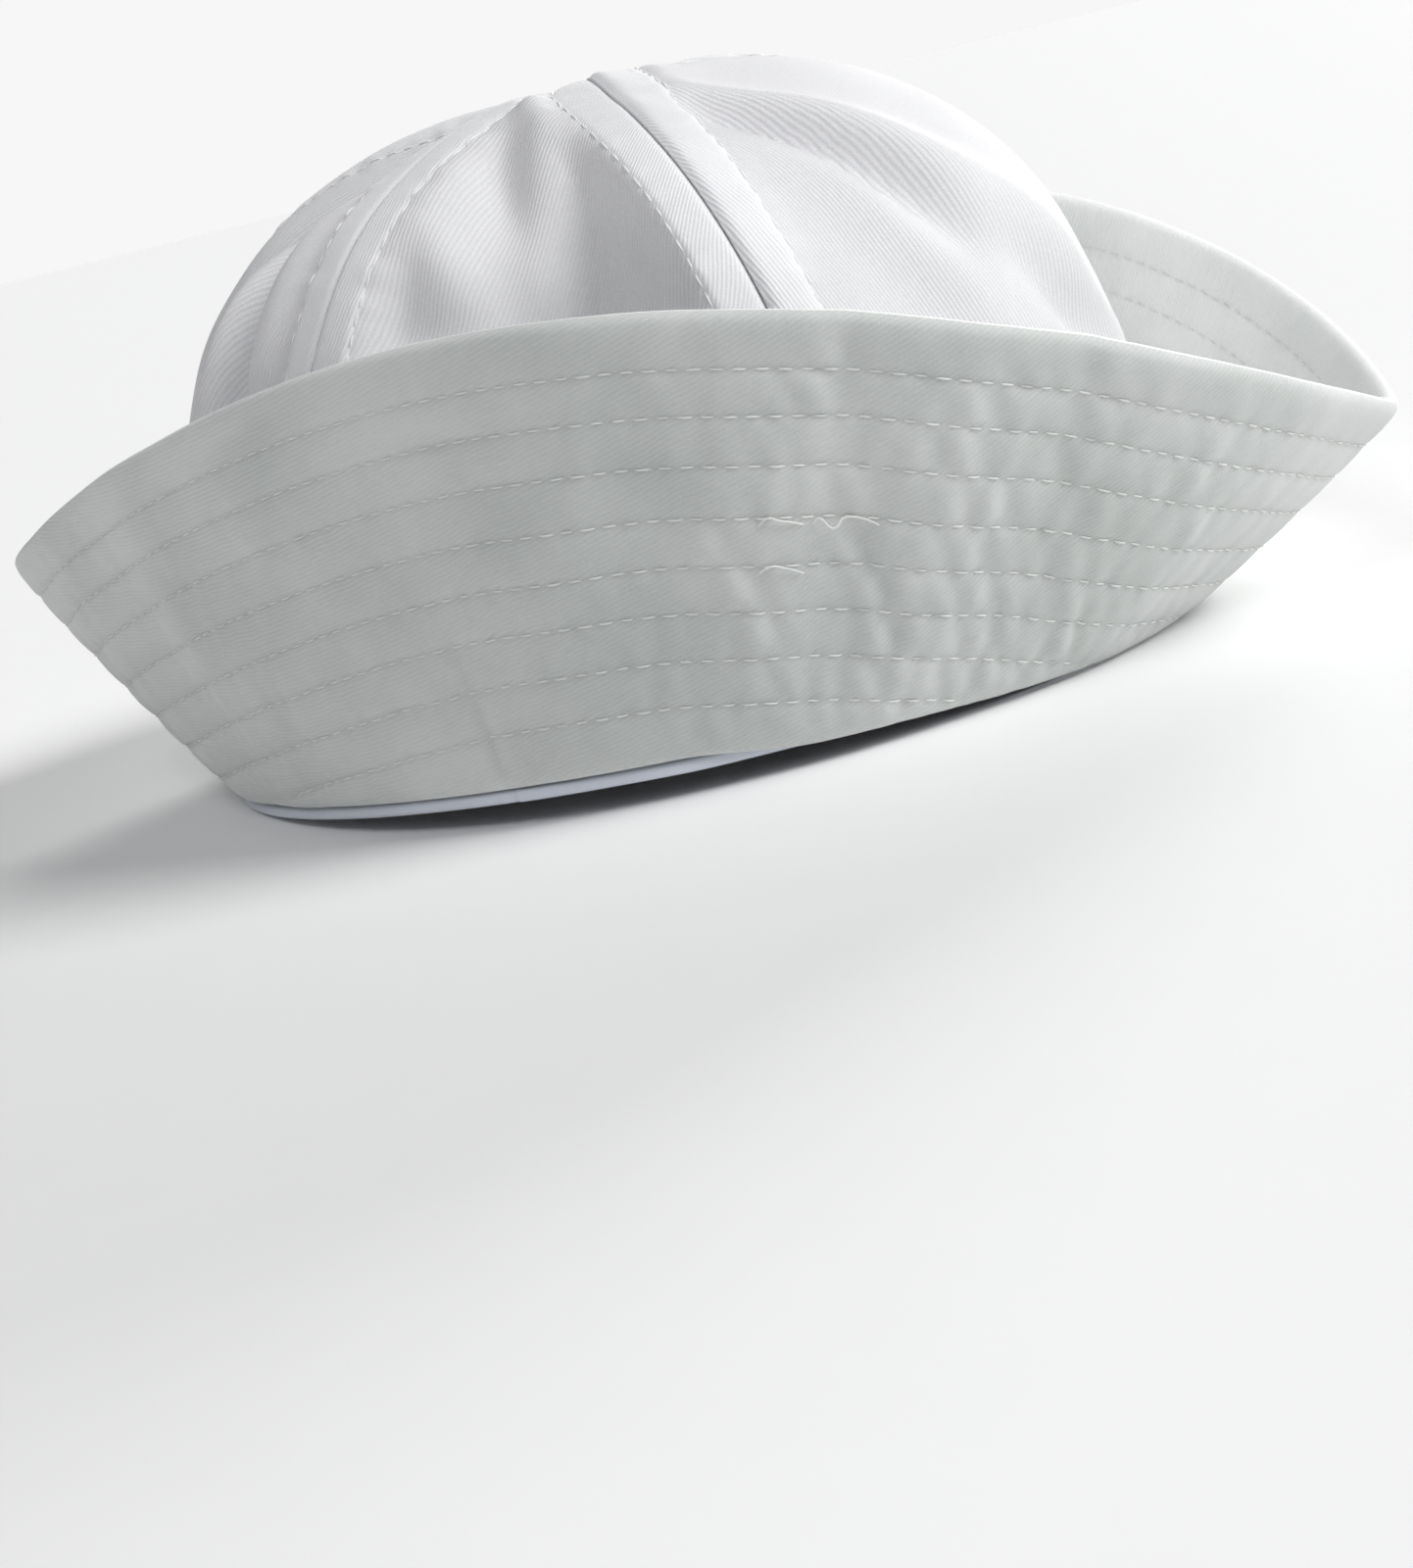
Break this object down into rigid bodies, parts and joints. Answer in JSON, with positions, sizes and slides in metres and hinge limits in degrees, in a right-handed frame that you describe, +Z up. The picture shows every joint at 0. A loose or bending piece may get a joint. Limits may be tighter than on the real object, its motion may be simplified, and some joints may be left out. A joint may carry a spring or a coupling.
{
  "type": "sailor cap",
  "caption": "Soft white cotton sailor cap with a gored crown and a tall turned-up stitched brim that flares to a tip at the front and the back.",
  "frame": {"origin": "middle of the cap's box, on the surface it rests on", "axes": "+X to the front tip, +Y to the wearer's left, +Z up through the crown"},
  "size_m": [0.3022, 0.1981, 0.1295],
  "materials": {
    "crown_twill": "white cotton twill, matt with a faint lavender shade in the hollows",
    "brim_twill": "off-white cotton twill in two plies with rows of stitching, matt",
    "band_lining": "smooth bluish white lining tape, soft sheen"
  },
  "bodies": {
    "root": {"brim": "brim_twill", "crown_gore_1": "crown_twill", "crown_gore_2": "crown_twill", "crown_gore_3": "crown_twill", "crown_gore_4": "crown_twill", "crown_gore_5": "crown_twill", "crown_gore_6": "crown_twill", "sweatband": "band_lining"}
  },
  "joints": []
}
